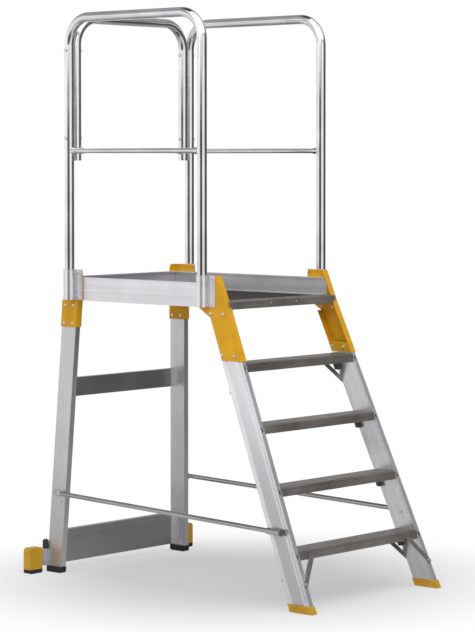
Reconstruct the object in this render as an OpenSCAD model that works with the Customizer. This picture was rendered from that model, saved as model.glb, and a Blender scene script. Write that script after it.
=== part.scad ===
// Podium step: a four-tread aluminium ladder, a guarded platform, a splayed
// rear frame with telescopic outriggers, and a bolted tubular guardrail that
// lifts out of four clamped sockets. Front is -Y, the floor is Z = 0.

/* [Steps] */
// Height from one standing surface to the next
rise = 220; // [205:1:235]
// Height of a tread section
tread_h = 33; // [29:1:37]
// Wall of a tread section
tread_wall = 2.5; // [2:0.5:4]
// Level length that the ladder leans back per unit of height
ladder_lean_share = 0.432; // [0.42:0.002:0.45]
// Length that each ladder side splays out per unit of drop
ladder_splay_share = 0.055; // [0.045:0.005:0.065]

/* [Stiles] */
// Thickness of a stile across the ladder
stile_t = 21; // [18:1:25]
// Level depth of a stile from front to rear
stile_run = 99; // [92:1:106]
// Wall of a stile
stile_wall = 2.5; // [2:0.5:3.5]

/* [Platform] */
// Width over the side rails
platform_w = 634; // [600:2:680]
// Height of the tray's rails
rail_h = 91; // [80:1:100]
// Wall of the tray's rails
rail_wall = 3; // [2.5:0.5:4]
// Thickness of the deck board
board_t = 18; // [15:1:21]
// Depth of the nosing from front to rear
nosing_run = 52; // [46:1:58]
// Length of the tray behind the centres of the rear posts
tray_reach = 55; // [50:1:60]
// Length of the ladder's front line ahead of the front posts, at deck level
ladder_reach = 89; // [84:1:94]

/* [Brackets] */
// Thickness of the pressed brackets
bracket_t = 3; // [2.5:0.5:4]
// Height of the brackets above the foot of the rails
bracket_rise = 120; // [114:1:124]
// Length of the front bracket below the foot of the rails
front_bracket_drop = 193; // [180:1:205]
// Length of the rear bracket below the foot of the rails
rear_bracket_drop = 106; // [96:1:116]

/* [Rear frame] */
// Thickness of a rear leg across the frame
leg_t = 24; // [22:1:27]
// Depth of a rear leg from front to rear
leg_run = 78; // [72:1:84]
// Wall of the rear legs and the bars between them
leg_wall = 2.5; // [2:0.5:3.5]
// Level length that the rear legs lean per unit of height
leg_lean_share = 0.0425; // [0.035:0.0025:0.05]
// Length that each rear leg splays out per unit of drop
leg_splay_share = 0.0455; // [0.0405:0.0025:0.0505]
// Length of the legs' rear faces behind the rear posts, at the foot of the rails
leg_reach = 62; // [59:1:66]
// Height of the middle crossbar's foot
mid_bar_z = 688; // [640:1:730]
// Height of the middle crossbar
mid_bar_h = 74; // [64:1:84]
// Height of the lower crossbar
low_bar_h = 130; // [116:1:140]

/* [Outriggers] */
// Height of the guide tube
guide_h = 60; // [54:1:66]
// Depth of the guide tube from front to rear
guide_run = 25; // [23:1:28]
// Length of the guide tube past the feet of the rear legs, at each end
guide_reach = 19; // [17:1:30]
// Part of each sliding bar that shows at rest
bar_show = 15; // [13:1:25]
// Width of an outrigger foot
foot_w = 66; // [58:1:76]
// Height of an outrigger foot with its sole
foot_h = 100; // [94:1:110]

/* [Guardrail] */
// Outer diameter of the hoops
post_d = 38; // [36:0.5:40]
// Wall of the hoops
post_wall = 2; // [1.5:0.5:3]
// Distance between the centres of the front and rear posts
post_span = 706; // [670:2:740]
// Height of the guardrail above the deck
guard_h = 1095; // [1000:5:1150]
// Bend radius of the hoops
bend_r = 105; // [90:1:120]
// Height of the knee rails above the deck
knee_h = 558; // [500:1:600]
// Diameter of the knee rails
knee_d = 19; // [17:0.5:22]

/* [Stays] */
// Diameter of the side stays
stay_d = 18; // [16:0.5:20]
// Diameter of the stays' front sleeves
sleeve_d = 25; // [24:0.5:28]

/* [Hidden] */
$fn = 64;

// Overrun of every cut, and clearances
cut = 1;
slide_gap = 0.3;
turn_gap = 0.05;
seat_gap = 0.05;

// Number of treads below the platform
tread_count = 4;

// Heights of the deck
deck_z = (tread_count + 1) * rise;
nosing_t = 5;
nosing_h = 32;
nosing_nose = 17;
board_cap = 6;
board_rebate = 1;
rebate_gap = 0.5;
nosing_cleat_h = 32;
nosing_cleat_t = 4;
nosing_cleat_w = 45;
nosing_cleat_in = 14;
nosing_cleat_run = 76;
nosing_shelf_run = 52;
nosing_lap = 13;
nosing_lap_low = 10;
screw_place_share = 0.25;
rail_flange_t = 4;
board_z = deck_z - nosing_t;
rail_z = board_z - board_t - rail_flange_t;
rail_top = rail_z + rail_h;
rail_x = platform_w / 2;

// Rail section
rail_flange_w = 32;
rail_lip_w = 14;
rail_fin_w = 15;
rail_fin_t = 3;

// Planes of the ladder and the rear frame
ladder_foot_y = -post_span / 2 - ladder_reach - ladder_lean_share * deck_z;
leg_foot_y = post_span / 2 + leg_reach + leg_lean_share * rail_z;
tray_rear_y = post_span / 2 + tray_reach;
far = 2 * deck_z;

// Treads
tread_set_down = 6;
tread_round = 2.5;
rib_h = 1.5;
rib_w = 4;
rib_pitch = 8;
rib_count = floor((stile_run - 2 * tread_round) / rib_pitch);
rib_start = (stile_run - (rib_count - 1) * rib_pitch - rib_w) / 2;
cleat_w = 20;
cleat_h = 32;
cleat_t = 12;

// Stiles and shoes
stile_recess = 2;
edge_w = 10;
groove_w = 3;
front_ridge_w = 13;
rear_ridge_w = 20;
slot_w = 7;
slot_h = 16;
shoe_h = 28;
shoe_wall = 3.5;
shoe_floor = 8;
shoe_rib_t = 1.2;
shoe_rib_h = 3;
shoe_rib_pitch = 8;

// Knee braces below the lowest and the highest tread
strap_w = 19;
strap_t = 4;
strap_inset = 66;
strap_drop = 78;

// Screw heads
head_d = 13;
head_t = 5;
rivet_d = 12;
rivet_t = 3;
tail_d = 9;
tail_t = 2.5;
screw_d = 8;
screw_t = 2;
bolt_d = 8;
bolt_gap = 0.2;

// Front bracket
flange_w = 28;
bracket_set_in = 5;
flange_round = 8;
flange_gap = 2;
stile_hold = 32;
bracket_round = 14;
bracket_margin = 1;
gusset_drop = 37;
gusset_in = 8;
box_top = deck_z - nosing_h;
stile_top = rail_z - front_bracket_drop + stile_hold;
upper_bolt_drop = 17;
upper_bolt_us = [24, 84];
upper_bolt_z = box_top - upper_bolt_drop;
lower_bolt_rise = 20;
lower_bolt_in = 25;
lower_bolt_out = 14;
lower_bolt_us = [lower_bolt_in, stile_run - lower_bolt_out];
lower_bolt_z = rail_z - front_bracket_drop + lower_bolt_rise;

// Rear bracket
rear_flange_w = 36;

// Post sockets
socket_d = 43;
socket_flange_t = 4.5;
socket_half = 48;
socket_rise = 3;
socket_h = 118;
socket_floor = 4;
drain_d = 10;
socket_stand = 23;
socket_web = 15;
socket_bolt_y = 37.5;
socket_bolt_d = 6;
socket_head_d = 11;
socket_head_t = 4;
socket_bolt_low = 8;
socket_bolt_high = 14;
socket_bolt_zs = [socket_bolt_low, socket_h - socket_bolt_high];
socket_z = rail_z + socket_rise;
post_x = rail_x + bracket_t + socket_stand;
post_foot_z = socket_z + socket_floor;

// Guardrail
hoop_top = deck_z + guard_h - post_d / 2;
knee_z = deck_z + knee_h;
hoop_space = 1;
rear_hoop_x = post_x - post_d - hoop_space;
rear_hoop_tail = 38;
collar_d = 25;
collar_len = 17;
hoop_bolt_low = 49;
hoop_bolt_high = 126;
hoop_bolt_zs = [knee_z + hoop_bolt_low, hoop_top - hoop_bolt_high];

// Rear frame
leg_foot_gap = 10;
guide_z = 25;
rubber_gap = 1;
rubber_h = guide_z - rubber_gap;
rubber_wall = 2;
rubber_round = 8;
low_bar_z = 30;
bar_run = 25;
bar_cleat_run = 45;
bar_cleat_w = 26;
bar_cleat_t = 3;
cleat_rivet_inset = 20;
leg_rivet_inset = 16;
leg_rivet_drop = 20;

// Outriggers
guide_wall = 2.5;
bar_hold = 40;
bar_inner_x = 70;
foot_run = 38;
foot_round = 14;
sole_h = 16;
sole_round = 9;
sole_groove = 3;
boss_d = 18;
boss_h = 4;
knob_margin = 1;
knob_d = guide_run - knob_margin;
knob_h = 37;
knob_inset = 20;
knob_flutes = 6;
knob_flute_d = 8;
stem_d = 8;
guide_top = guide_z + guide_h;
guide_y = leg_foot_y - leg_lean_share * guide_top + guide_run / 2;

// Stays
stay_rear_u = 48;
stay_rear_z = 314;
stay_front_u = 59;
stay_front_z = 280;
stay_sink = 1;
blade_run = 75;
blade_h = 28;
blade_t = 4;
blade_lap = 22;
sleeve_len = 61;
sleeve_pad_h = 18;
sleeve_stand = 1;
plug_len = 5;
stay_bolt_ahead = 17;
rivet_below = 30;

// Shift that puts the origin under the middle of the outline
front_end_y = ladder_foot_y - shoe_wall;
rear_end_y = guide_y + foot_run / 2;
centre_y = -(front_end_y + rear_end_y) / 2;

function ladder_x(z) = rail_x + ladder_splay_share * (rail_z - z);
function ladder_y(z) = ladder_foot_y + ladder_lean_share * z;
function leg_x(z) = rail_x + leg_splay_share * (rail_z - z);
function leg_y(z) = leg_foot_y - leg_lean_share * z;
function tread_top(i) = i * rise - tread_set_down;
function tread_mid(i) = tread_top(i) - tread_h / 2;

// Places that follow from the planes
front_edge_y = -post_span / 2 + socket_half - bracket_margin;
recess_u0 = edge_w + groove_w + front_ridge_w;
recess_u1 = stile_run - rear_ridge_w;
nosing_x = rail_x + bracket_t - flange_w;
nosing_y = ladder_y(deck_z) - nosing_nose;
rail_front_y = nosing_y + nosing_run;
socket_x = rail_x + bracket_t;
guide_half = leg_x(0) + guide_reach;
knob_x = guide_half - knob_inset;
foot_x = guide_half + bar_show;
bar_z0 = guide_z + guide_wall + slide_gap;
bar_z1 = guide_top - guide_wall - slide_gap;
stay_rear_y = leg_y(stay_rear_z) - stay_rear_u;
stay_front_y = ladder_y(stay_front_z) + stay_front_u;
stay_rear = [leg_x(stay_rear_z) + blade_t + stay_d / 2 - stay_sink, stay_rear_y, stay_rear_z];
stay_front = [ladder_x(stay_front_z) + sleeve_d / 2 + sleeve_stand, stay_front_y, stay_front_z];
stay_axis = (stay_front - stay_rear) / norm(stay_front - stay_rear);

// Places the working frame, midway between the posts, in the part's frame
module placed() {
    translate([0, centre_y, 0]) children();
}

module left() {
    mirror([1, 0, 0]) children();
}

module both() {
    children();
    left() children();
}

// Outline in Y and Z drawn along X, and outline in X and Z drawn along Y
module along_x(x0, x1) {
    translate([x0, 0, 0]) rotate([90, 0, 90]) linear_extrude(x1 - x0) children();
}

module along_y(y0, y1) {
    translate([0, y1, 0]) rotate([90, 0, 0]) linear_extrude(y1 - y0) children();
}

// Bar of the right ladder side: d runs inboard from its outer face, u runs back
// from its front line
module ladder_bar(d0, d1, u0, u1, z0, z1) {
    corners = [[0, 0], [1, 0], [1, 1], [0, 1]];
    intersection() {
        along_y(-far, far) polygon([for (c = corners) let (z = c[1] == 0 ? z0 : z1)
            [ladder_x(z) - (c[0] == 0 ? d0 : d1), z]]);
        along_x(0, far) polygon([for (c = corners) let (z = c[1] == 0 ? z0 : z1)
            [ladder_y(z) + (c[0] == 0 ? u0 : u1), z]]);
    }
}

// Bar of the right rear leg: d runs inboard from its outer face, u runs forward
// from its rear face
module leg_bar(d0, d1, u0, u1, z0, z1) {
    corners = [[0, 0], [1, 0], [1, 1], [0, 1]];
    intersection() {
        along_y(-far, far) polygon([for (c = corners) let (z = c[1] == 0 ? z0 : z1)
            [leg_x(z) - (c[0] == 0 ? d0 : d1), z]]);
        leg_band(u0, u1, z0, z1);
    }
}

module leg_band(u0, u1, z0, z1) {
    along_x(-far, far) polygon([
        [leg_y(z0) - u0, z0], [leg_y(z0) - u1, z0], [leg_y(z1) - u1, z1], [leg_y(z1) - u0, z1]]);
}

// Room between the two ladder sides, and between the two rear legs
module between_stiles(z0, z1) {
    x0 = ladder_x(z0) - stile_t;
    x1 = ladder_x(z1) - stile_t;
    along_y(-far, far) polygon([[-x0, z0], [x0, z0], [x1, z1], [-x1, z1]]);
}

module between_legs(z0, z1) {
    x0 = leg_x(z0) - leg_t;
    x1 = leg_x(z1) - leg_t;
    along_y(-far, far) polygon([[-x0, z0], [x0, z0], [x1, z1], [-x1, z1]]);
}

// Round pin along X on the right side, and along Y
module pin_x(x0, x1, y, z, d) {
    translate([x0, y, z]) rotate([0, 90, 0]) cylinder(h = x1 - x0, d = d);
}

module pin_y(x, y0, y1, z, d) {
    translate([x, y1, z]) rotate([90, 0, 0]) cylinder(h = y1 - y0, d = d);
}

// Hexagon head or nut along X
module hex_x(x0, x1, y, z, d) {
    translate([x0, y, z]) rotate([0, 90, 0]) cylinder(h = x1 - x0, d = d, $fn = 6);
}

// Rod between two points
module rod(p, q, d) {
    v = q - p;
    translate(p) rotate([0, acos(v[2] / norm(v)), atan2(v[1], v[0])]) cylinder(h = norm(v), d = d);
}

// Corner at p of an outline, to be cut away round a radius; sx and sy point inward
module corner_cut(p, r, sx, sy) {
    translate(p) scale_sign(sx, sy) difference() {
        translate([-cut, -cut]) square(r + cut);
        translate([r, r]) circle(r);
        translate([r, -cut]) square(r + cut);
        translate([-cut, r]) square(r + cut);
    }
}

module scale_sign(sx, sy) {
    mirror([sx < 0 ? 1 : 0, 0]) mirror([0, sy < 0 ? 1 : 0]) children();
}

// Front ladder

module stile() {
    z0 = shoe_floor;
    difference() {
        ladder_bar(0, stile_t, 0, stile_run, z0, stile_top);
        ladder_bar(stile_recess + stile_wall, stile_t - stile_wall, stile_wall, stile_run - stile_wall,
            z0 - cut, stile_top + cut);
        ladder_bar(-cut, stile_recess, edge_w, edge_w + groove_w, z0 - cut, stile_top + cut);
        ladder_bar(-cut, stile_recess, recess_u0, recess_u1, z0 - cut, stile_top + cut);
        for (i = [1 : tread_count]) stile_slot(tread_mid(i));
        stay_bolt_pin(bolt_d + 2 * bolt_gap);
        for (u = lower_bolt_us) bracket_pin(u, lower_bolt_z, -cut, stile_t + cut, bolt_d + 2 * bolt_gap);
    }
}

// Oval slot in a stile's front wall at a tread's height
module stile_slot(z) {
    translate([ladder_x(z) - stile_t / 2, 0, z]) along_y(ladder_y(z) - slot_h, ladder_y(z) + slot_w) {
        square([slot_w, slot_h - slot_w], center = true);
        for (s = [-1, 1]) translate([0, s * (slot_h - slot_w) / 2]) circle(d = slot_w);
    }
}

module front_stile_right() {
    color("silver") placed() stile();
}

module front_stile_left() {
    color("silver") placed() left() stile();
}

module tread_section() {
    flat_h = tread_h - rib_h;
    difference() {
        union() {
            translate([tread_round, 0]) square([stile_run - 2 * tread_round, flat_h]);
            translate([0, tread_round]) square([stile_run, flat_h - 2 * tread_round]);
            for (y = [tread_round, stile_run - tread_round], z = [tread_round, flat_h - tread_round])
                translate([y, z]) circle(tread_round);
            for (k = [0 : rib_count - 1])
                translate([rib_start + k * rib_pitch, flat_h - tread_wall])
                    square([rib_w, rib_h + tread_wall]);
        }
        translate([tread_wall, tread_wall])
            square([stile_run - 2 * tread_wall, flat_h - 2 * tread_wall]);
    }
}

module tread(i) {
    z1 = tread_top(i);
    color("gainsboro") placed() intersection() {
        between_stiles(z1 - tread_h, z1);
        along_x(-far, far) translate([ladder_y(tread_mid(i)), z1 - tread_h]) tread_section();
    }
}

module tread_1() {
    tread(1);
}

module tread_2() {
    tread(2);
}

module tread_3() {
    tread(3);
}

module tread_4() {
    tread(4);
}

// Cleats that carry the rear ends of the treads on the stiles
module tread_cleats() {
    color("dimgray") placed() both() for (i = [1 : tread_count]) {
        z1 = tread_top(i) - tread_h;
        ladder_bar(stile_t, stile_t + cleat_w, stile_run - cleat_t, stile_run, z1 - cleat_h, z1);
    }
}

// Flat strap in X and Z from a point on the stile up to a point under the tread
module strap_outline(p, q) {
    v = q - p;
    translate(p) rotate(atan2(v[1], v[0])) {
        translate([0, -strap_w / 2]) square([norm(v), strap_w]);
        circle(d = strap_w);
        translate([norm(v), 0]) circle(d = strap_w);
    }
}

function strap_low_z(i) = tread_top(i) - tread_h - strap_drop;
function strap_low_x(i) = ladder_x(strap_low_z(i)) - stile_t / 2;

module strap(i, u, z1) {
    low = [strap_low_x(i), strap_low_z(i)];
    high = [ladder_x(tread_top(i)) - stile_t - strap_inset, z1];
    intersection() {
        along_y(-far, far) strap_outline(low, high);
        ladder_bar(-far, far, u, u + strap_t, 0, z1);
    }
}

module tread_braces() {
    color("lightgray") placed() both() {
        strap(1, -strap_t, tread_mid(1));
        for (i = [1, tread_count]) strap(i, stile_run, tread_top(i) - tread_h);
    }
}

// Bolt heads on the straps' lower ends
module strap_bolt(i, u) {
    intersection() {
        pin_y(strap_low_x(i), -far, far, strap_low_z(i), head_d);
        ladder_bar(-far, far, u, u + head_t, 0, far / 2);
    }
}

module brace_bolts() {
    color("gray") placed() both() {
        strap_bolt(1, -strap_t - head_t);
        for (i = [1, tread_count]) strap_bolt(i, stile_run + strap_t);
    }
}

module shoe() {
    rib_count = floor(stile_run / shoe_rib_pitch) - 1;
    difference() {
        union() {
            ladder_bar(-shoe_wall, stile_t + shoe_wall, -shoe_wall, stile_run + shoe_wall, 0, shoe_h);
            for (k = [1 : rib_count]) ladder_bar(-shoe_wall - shoe_rib_t, -shoe_wall,
                k * shoe_rib_pitch, k * shoe_rib_pitch + shoe_rib_h, 0, shoe_h);
        }
        ladder_bar(0, stile_t, 0, stile_run, shoe_floor, shoe_h + cut);
    }
}

module front_shoe_right() {
    color("goldenrod") placed() shoe();
}

module front_shoe_left() {
    color("goldenrod") placed() left() shoe();
}

// Pressed front bracket: a channel that clasps the top of the stile and widens into a
// plate on the rail's outer face, with one front flange from foot to top
module front_bracket() {
    z0 = rail_z - front_bracket_drop;
    zg = rail_z - gusset_drop;
    z1 = rail_z + bracket_rise;
    u1 = stile_run - bracket_set_in;
    hole_d = bolt_d + 2 * bolt_gap;
    difference() {
        union() {
            ladder_bar(-bracket_t, 0, -bracket_t, u1, z0, zg);
            intersection() {
                ladder_bar(-bracket_t, 0, -far, far, zg, rail_z);
                along_x(0, far) polygon([
                    [ladder_y(zg) - bracket_t, zg], [ladder_y(zg) + u1, zg],
                    [front_edge_y - gusset_in, rail_z], [ladder_y(rail_z) - bracket_t, rail_z]]);
            }
            along_x(rail_x, rail_x + bracket_t) difference() {
                polygon([[ladder_y(rail_z) - bracket_t, rail_z], [front_edge_y, rail_z],
                    [front_edge_y, z1], [ladder_y(z1) - bracket_t, z1]]);
                corner_cut([front_edge_y, z1], bracket_round, -1, -1);
            }
            ladder_bar(-bracket_t, flange_w - bracket_t, -bracket_t, 0, z0, rail_z);
            intersection() {
                along_x(nosing_x, rail_x + bracket_t) polygon([
                    [ladder_y(rail_z) - bracket_t, rail_z], [ladder_y(rail_z), rail_z],
                    [ladder_y(z1), z1], [ladder_y(z1) - bracket_t, z1]]);
                along_y(-far, far) difference() {
                    translate([nosing_x, rail_z]) square([flange_w, z1 - rail_z]);
                    corner_cut([nosing_x, z1], flange_round, 1, -1);
                }
            }
            ladder_bar(stile_t, stile_t + bracket_t, -bracket_t, u1, z0, stile_top + flange_gap + bracket_t);
            ladder_bar(-bracket_t, stile_t + bracket_t, u1 - bracket_t, u1, stile_top + flange_gap, zg);
        }
        for (u = upper_bolt_us) bracket_pin(u, upper_bolt_z, -bracket_t - cut, cut, hole_d);
        for (u = lower_bolt_us)
            bracket_pin(u, lower_bolt_z, -bracket_t - cut, stile_t + bracket_t + cut, hole_d);
        socket_bolt_pins(-1, socket_bolt_d + 2 * bolt_gap);
    }
}

module front_bracket_right() {
    color("gold") placed() front_bracket();
}

module front_bracket_left() {
    color("gold") placed() left() front_bracket();
}

// Round pin across the ladder side, between two depths from its outer face
module bracket_pin(u, z, d0, d1, d) {
    intersection() {
        pin_x(0, far, ladder_y(z) + u, z, d);
        ladder_bar(d0, d1, -far, far, 0, deck_z);
    }
}

// Bolt from the bracket's outer face to a depth behind the ladder side's outer face
module bracket_bolt(u, z, depth, end_d, end_t) {
    bracket_pin(u, z, -bracket_t, depth, bolt_d);
    bracket_pin(u, z, -bracket_t - head_t, -bracket_t, head_d);
    bracket_pin(u, z, depth, depth + end_t, end_d);
}

module front_bracket_bolts() {
    color("gray") placed() both() {
        for (u = upper_bolt_us) bracket_bolt(u, upper_bolt_z, nosing_cleat_t, tail_d, tail_t);
        for (u = lower_bolt_us) bracket_bolt(u, lower_bolt_z, stile_t + bracket_t, head_d, head_t);
    }
}

// Platform tray

// Section of a rail: web on the outer side, top lip, a foot that carries the board
// and a fin that covers the board's edge
module rail_section() {
    square([rail_wall, rail_h]);
    square([rail_flange_w, rail_flange_t]);
    translate([0, rail_h - rail_wall]) square([rail_lip_w, rail_wall]);
    translate([rail_lip_w - rail_wall, rail_h - 2 * rail_wall]) square([rail_wall, 2 * rail_wall]);
    translate([0, rail_flange_t + board_t - board_rebate]) square([rail_fin_w, rail_fin_t]);
}

module side_rail() {
    difference() {
        intersection() {
            translate([rail_x, 0, rail_z]) along_y(rail_front_y, tray_rear_y)
                mirror([1, 0]) rail_section();
            linear_extrude(far) polygon([
                [rail_x + cut, tray_rear_y + cut], [0, tray_rear_y - rail_x],
                [0, -far], [rail_x + cut, -far]]);
        }
        for (s = [-1, 1]) socket_bolt_pins(s, socket_bolt_d + 2 * bolt_gap);
    }
}

module side_rail_right() {
    color("whitesmoke") placed() side_rail();
}

module side_rail_left() {
    color("whitesmoke") placed() left() side_rail();
}

module rear_toe_board() {
    color("whitesmoke") placed() intersection() {
        translate([0, tray_rear_y, rail_z]) along_x(-rail_x, rail_x) mirror([1, 0]) rail_section();
        linear_extrude(far) polygon([
            [rail_x + cut, tray_rear_y + cut], [0, tray_rear_y - rail_x],
            [-rail_x - cut, tray_rear_y + cut]]);
    }
}

// End of the nosing's lip, in front of the bracket's flange
module nosing_end() {
    z0 = box_top + nosing_lap_low;
    z1 = deck_z - rib_h - tread_round;
    front = bracket_t + seat_gap;
    along_x(nosing_x, nosing_x + nosing_lap) polygon([
        [nosing_y, z0], [ladder_y(z0) - front, z0], [ladder_y(z1) - front, z1], [nosing_y, z1]]);
}

// Nosing: a ribbed channel that caps the front edge of the board
module front_nosing() {
    foot_t = nosing_h - nosing_t - board_t;
    nosing_ribs = floor((nosing_run - 2 * tread_round) / rib_pitch);
    color("silver") placed() both() nosing_end();
    color("silver") placed() translate([0, nosing_y, box_top]) along_x(-nosing_x, nosing_x) difference() {
        union() {
            square([nosing_run, nosing_h - rib_h]);
            for (k = [1 : nosing_ribs])
                translate([k * rib_pitch, 0]) square([rib_w, nosing_h]);
        }
        translate([board_cap, foot_t]) square([nosing_run, board_t - board_rebate]);
        translate([board_cap, -cut]) square([nosing_run - 2 * board_cap, foot_t - rail_flange_t + cut]);
        corner_cut([0, nosing_h - rib_h], tread_round, 1, -1);
    }
}

module nosing_screws() {
    color("gray") placed() both()
        pin_y(nosing_x * screw_place_share, nosing_y - screw_t, nosing_y, box_top + nosing_h / 2, screw_d);
}

// Angle cleats that carry the nosing's ends on the front brackets
module nosing_cleats() {
    z0 = box_top - nosing_cleat_h;
    u0 = nosing_cleat_in;
    color("gold") placed() both() difference() {
        union() {
            ladder_bar(0, nosing_cleat_t, u0, u0 + nosing_cleat_run, z0, box_top);
            ladder_bar(0, nosing_cleat_w, u0, u0 + nosing_shelf_run, box_top - nosing_cleat_t, box_top);
        }
        for (u = upper_bolt_us)
            bracket_pin(u, upper_bolt_z, -cut, nosing_cleat_t + cut, bolt_d + 2 * bolt_gap);
    }
}

// Deck board with a rebate along its edges, under the nosing and the rails' fins
module deck_board() {
    inner_x = rail_x - rail_wall;
    rear_y = tray_rear_y - rail_wall;
    field_x = rail_x - rail_fin_w - rebate_gap;
    field_y0 = rail_front_y + rebate_gap;
    field_y1 = tray_rear_y - rail_fin_w - rebate_gap;
    color("dimgray") placed() translate([0, 0, rail_z + rail_flange_t]) {
        linear_extrude(board_t - board_rebate) polygon([
            [-inner_x, rail_front_y], [-nosing_x, rail_front_y], [-nosing_x, nosing_y + board_cap],
            [nosing_x, nosing_y + board_cap], [nosing_x, rail_front_y], [inner_x, rail_front_y],
            [inner_x, rear_y], [-inner_x, rear_y]]);
        translate([-field_x, field_y0]) linear_extrude(board_t) square([2 * field_x, field_y1 - field_y0]);
    }
}

// Post sockets

module socket() {
    difference() {
        linear_extrude(socket_h) {
            translate([0, -socket_half]) square([socket_flange_t, 2 * socket_half]);
            translate([0, -socket_web]) square([socket_stand, 2 * socket_web]);
            translate([socket_stand, 0]) circle(d = socket_d);
        }
        translate([socket_stand, 0, socket_floor]) cylinder(h = socket_h, d = post_d + 2 * turn_gap);
        translate([socket_stand, 0, -cut]) cylinder(h = socket_h, d = drain_d);
        for (y = [-socket_bolt_y, socket_bolt_y], z = socket_bolt_zs)
            pin_x(-cut, socket_flange_t + cut, y, z, socket_bolt_d + 2 * bolt_gap);
    }
}

module socket_right(s) {
    color("silver") placed() translate([socket_x, s * post_span / 2, socket_z]) socket();
}

module socket_left(s) {
    color("silver") placed() left() translate([socket_x, s * post_span / 2, socket_z]) socket();
}

module post_socket_front_right() {
    socket_right(-1);
}

module post_socket_front_left() {
    socket_left(-1);
}

module post_socket_rear_right() {
    socket_right(1);
}

module post_socket_rear_left() {
    socket_left(1);
}

// Shanks of the socket bolts at the front posts (s = -1) or the rear posts (s = 1)
module socket_bolt_pins(s, d) {
    for (y = [-socket_bolt_y, socket_bolt_y], z = socket_bolt_zs)
        pin_x(rail_x - rail_wall - cut, socket_x + socket_flange_t, s * post_span / 2 + y, socket_z + z, d);
}

// Bolts of the sockets: they end flush in the rail and in the bracket's plate
module socket_bolts() {
    x1 = socket_x + socket_flange_t;
    color("gray") placed() both() for (s = [-1, 1], y = [-socket_bolt_y, socket_bolt_y]) {
        yb = s * post_span / 2 + y;
        zl = socket_z + socket_bolt_zs[0];
        zh = socket_z + socket_bolt_zs[1];
        pin_x(rail_x - rail_wall, x1, yb, zl, socket_bolt_d);
        pin_x(rail_x, x1, yb, zh, socket_bolt_d);
        for (z = [zl, zh]) hex_x(x1, x1 + socket_head_t, yb, z, socket_head_d);
    }
}

// Rear frame

module rear_leg() {
    difference() {
        leg_bar(0, leg_t, 0, leg_run, leg_foot_gap, rail_z);
        leg_bar(leg_wall, leg_t - leg_wall, leg_wall, leg_run - leg_wall, leg_foot_gap - cut, rail_z + cut);
    }
}

module rear_leg_right() {
    color("lightgray") placed() rear_leg();
}

module rear_leg_left() {
    color("lightgray") placed() left() rear_leg();
}

// Pressed rear bracket: a box sleeve round the top of the leg and a plate on the rail,
// turned in behind the tray
module rear_bracket() {
    z0 = rail_z - rear_bracket_drop;
    z1 = rail_z + bracket_rise;
    y0 = post_span / 2 - socket_half + bracket_margin;
    y1 = tray_rear_y + bracket_t;
    difference() {
        union() {
            difference() {
                leg_bar(-bracket_t, leg_t + bracket_t, -bracket_t, leg_run + bracket_t, z0, rail_z);
                leg_bar(0, leg_t, 0, leg_run, z0 - cut, rail_z + cut);
            }
            along_x(rail_x, rail_x + bracket_t) difference() {
                translate([y0, rail_z]) square([y1 - y0, z1 - rail_z]);
                corner_cut([y0, z1], bracket_round, 1, -1);
            }
            along_y(tray_rear_y, y1) difference() {
                translate([rail_x + bracket_t - rear_flange_w, rail_z]) square([rear_flange_w, z1 - rail_z]);
                corner_cut([rail_x + bracket_t - rear_flange_w, z1], bracket_round, 1, -1);
            }
        }
        socket_bolt_pins(1, socket_bolt_d + 2 * bolt_gap);
    }
}

module rear_bracket_right() {
    color("gold") placed() rear_bracket();
}

module rear_bracket_left() {
    color("gold") placed() left() rear_bracket();
}

// Rivet head on a leg's face, d inboard of its outer face, u forward of its rear face
module leg_rivet(d, u, z) {
    intersection() {
        pin_x(0, far, leg_y(z) - u, z, rivet_d);
        leg_bar(d, d + rivet_t, -far, far, 0, deck_z);
    }
}

module rear_bracket_rivets() {
    z0 = rail_z - rear_bracket_drop;
    color("gray") placed() both()
        for (z = [z0 + leg_rivet_inset, rail_z - leg_rivet_drop],
                u = [leg_rivet_inset, leg_run - leg_rivet_inset],
                d = [-bracket_t - rivet_t, leg_t + bracket_t]) leg_rivet(d, u, z);
}

module crossbar(z0, h) {
    intersection() {
        between_legs(z0, z0 + h);
        difference() {
            leg_band(seat_gap, bar_run, z0, z0 + h);
            for (k = [0, 1]) leg_band(leg_wall, bar_run - leg_wall,
                z0 + leg_wall + k * (h - leg_wall) / 2, z0 + (h - leg_wall) / 2 + k * (h - leg_wall) / 2);
        }
    }
}

module mid_crossbar() {
    color("lightgray") placed() crossbar(mid_bar_z, mid_bar_h);
}

module lower_crossbar() {
    color("lightgray") placed() crossbar(low_bar_z, low_bar_h);
}

// Angle cleats on the legs' inner faces, in front of the crossbars' ends
module bar_cleat(z0, h) {
    leg_bar(leg_t, leg_t + bar_cleat_t, bar_run, bar_run + bar_cleat_run, z0, z0 + h);
    leg_bar(leg_t, leg_t + bar_cleat_w, bar_run, bar_run + bar_cleat_t, z0, z0 + h);
}

module crossbar_cleats() {
    color("silver") placed() both() {
        bar_cleat(mid_bar_z, mid_bar_h);
        bar_cleat(low_bar_z, low_bar_h);
    }
}

module cleat_rivets() {
    u = bar_run + bar_cleat_run - leg_rivet_inset;
    color("gray") placed() both()
        for (z = [mid_bar_z + cleat_rivet_inset, mid_bar_z + mid_bar_h - cleat_rivet_inset,
                low_bar_z + cleat_rivet_inset, low_bar_z + low_bar_h - cleat_rivet_inset])
            leg_rivet(leg_t + bar_cleat_t, u, z);
}

module rear_foot() {
    difference() {
        leg_bar(-rubber_wall, leg_t + rubber_wall, -rubber_wall, leg_run + rubber_wall, 0, rubber_h);
        leg_bar(0, leg_t, 0, leg_run, leg_foot_gap, rubber_h + cut);
        along_x(0, far) {
            corner_cut([leg_y(0) + rubber_wall, 0], rubber_round, -1, 1);
            corner_cut([leg_y(0) - leg_run - rubber_wall, 0], rubber_round, 1, 1);
        }
    }
}

module rear_foot_right() {
    color("black") placed() rear_foot();
}

module rear_foot_left() {
    color("black") placed() left() rear_foot();
}

// Side stays between the rear legs and the ladder

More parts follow.
